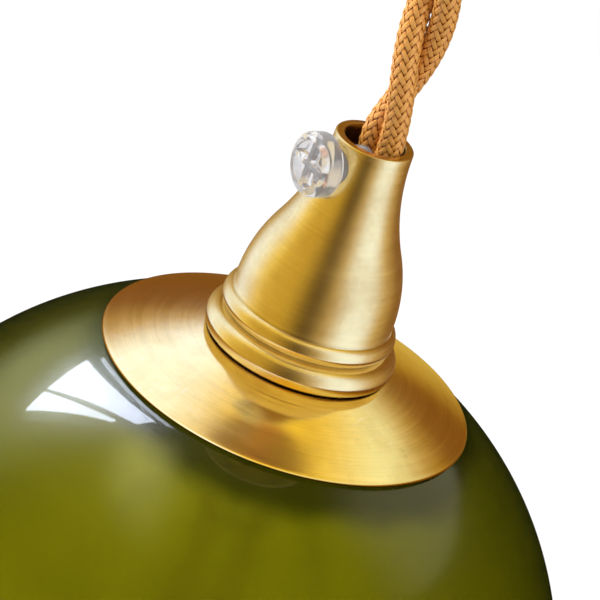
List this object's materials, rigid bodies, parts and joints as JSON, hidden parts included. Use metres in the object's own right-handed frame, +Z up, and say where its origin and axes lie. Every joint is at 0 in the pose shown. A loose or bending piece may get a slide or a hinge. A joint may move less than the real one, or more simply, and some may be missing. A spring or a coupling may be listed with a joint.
{
  "type": "pendant lamp",
  "caption": "Hanging pendant lamp with a glass globe clamped under a turned metal cap and dished cover plate, on a twisted textile flex from a round ceiling rose.",
  "frame": {"origin": "middle of the ceiling face, between the two ceiling screw slots", "axes": "+Z up along the hanging lamp, +X along the ceiling strap, -Y towards the viewer"},
  "size_m": [0.15, 0.15, 0.3124],
  "materials": {
    "strap_steel": "zinc-plated strip, dull",
    "rose_brass": "satin brushed, lathe lines round the cup",
    "screw_brass": "turned, slotted head",
    "fitting_brass": "plain turned brass, slightly dull",
    "steel_screw": "zinc-plated",
    "white_nylon": "moulded, matt",
    "core_brown": "smooth core insulation",
    "copper_wire": "bare tinned-edge copper, stranded",
    "braided_textile": "golden-brown diagonal braid with a soft sheen",
    "cap_brass": "satin brushed round the axis",
    "plate_brass": "satin brushed in fine rings",
    "washer_rubber": "matt",
    "porcelain": "white glazed",
    "clear_plastic": "clear moulded plastic, glossy",
    "olive_glass": "deep olive-green transparent blown glass, glossy",
    "ring_brass": "turned, grooved edge",
    "contact_metal": "tinned solder",
    "black_glass": "black vitreous insulator",
    "cap_nickel": "rolled thread, nickel bright",
    "clear_glass": "thin clear glass",
    "stem_glass": "pressed clear glass",
    "filament_yellow": "yellow-coated filament sticks"
  },
  "bodies": {
    "ceiling": {"ceiling_strap": "strap_steel", "rose_cover": "rose_brass", "side_screws": "screw_brass", "outlet_bush": "rose_brass", "outlet_nut": "fitting_brass", "outlet_grub": "steel_screw", "connector_block": "white_nylon", "connector_tubes": "fitting_brass", "connector_screws": "steel_screw", "rose_cores": "core_brown", "rose_wire_ends": "copper_wire", "strand_tails": "braided_textile"},
    "flex": {"flex_bend": "braided_textile"},
    "lamp": {"strand_live": "braided_textile", "strand_neutral": "braided_textile", "holder_cap": "cap_brass", "cover_plate": "plate_brass", "top_washer": "washer_rubber", "threaded_skirt": "fitting_brass", "porcelain_insert": "porcelain", "screw_shell": "fitting_brass", "live_tongue": "fitting_brass", "terminal_pillars": "fitting_brass", "terminal_screws": "steel_screw", "cap_cores": "core_brown", "cap_wire_ends": "copper_wire"},
    "grip_end": {"grip_pad": "clear_plastic"},
    "grip": {"grip_screw": "clear_plastic"},
    "globe": {"glass_globe": "olive_glass", "low_washer": "washer_rubber"},
    "ring": {"shade_ring": "ring_brass"},
    "bulb_end": {"contact_button": "contact_metal"},
    "bulb": {"bulb_insulator": "black_glass", "bulb_cap": "cap_nickel", "bulb_glass": "clear_glass", "bulb_stem": "stem_glass", "bulb_filaments": "filament_yellow"}
  },
  "joints": [
    {"name": "swing_front_back", "type": "hinge", "parent": "ceiling", "child": "flex", "pos_m": [0, 0, -0.037], "axis": [1, 0, 0], "range_deg": [-20, 20], "deforming": ["flex_bend"]},
    {"name": "swing_side", "type": "hinge", "parent": "flex", "child": "lamp", "pos_m": [0, 0, -0.037], "axis": [0, 1, 0], "range_deg": [-20, 20]},
    {"name": "globe_travel", "type": "slide", "parent": "lamp", "child": "globe", "axis": [0, 0, 1], "range_m": [-0.008, 0]},
    {"name": "shade_ring_turn", "type": "hinge", "parent": "globe", "child": "ring", "pos_m": [0, 0, -0.18587], "axis": [0, 0, 1], "range_deg": [-1440, 0]},
    {"name": "bulb_travel", "type": "slide", "parent": "lamp", "child": "bulb_end", "axis": [0, 0, 1], "range_m": [-0.00846, 0]},
    {"name": "bulb_turn", "type": "hinge", "parent": "bulb_end", "child": "bulb", "pos_m": [0, 0, -0.18587], "axis": [0, 0, 1], "range_deg": [-1080, 0]},
    {"name": "grip_travel", "type": "slide", "parent": "lamp", "child": "grip_end", "axis": [-0.7547, -0.6561, 0], "range_m": [0, 0.00313]},
    {"name": "grip_turn", "type": "hinge", "parent": "grip_end", "child": "grip", "pos_m": [0, 0, -0.1386], "axis": [-0.7547, -0.6561, 0], "range_deg": [0, 900]}
  ],
  "couplings": [
    {"joint": "shade_ring_turn", "follows": "globe_travel", "rad_per_m": 3141.6},
    {"joint": "bulb_turn", "follows": "bulb_travel", "rad_per_m": 2228.1},
    {"joint": "grip_turn", "follows": "grip_travel", "rad_per_m": 5026.5}
  ]
}
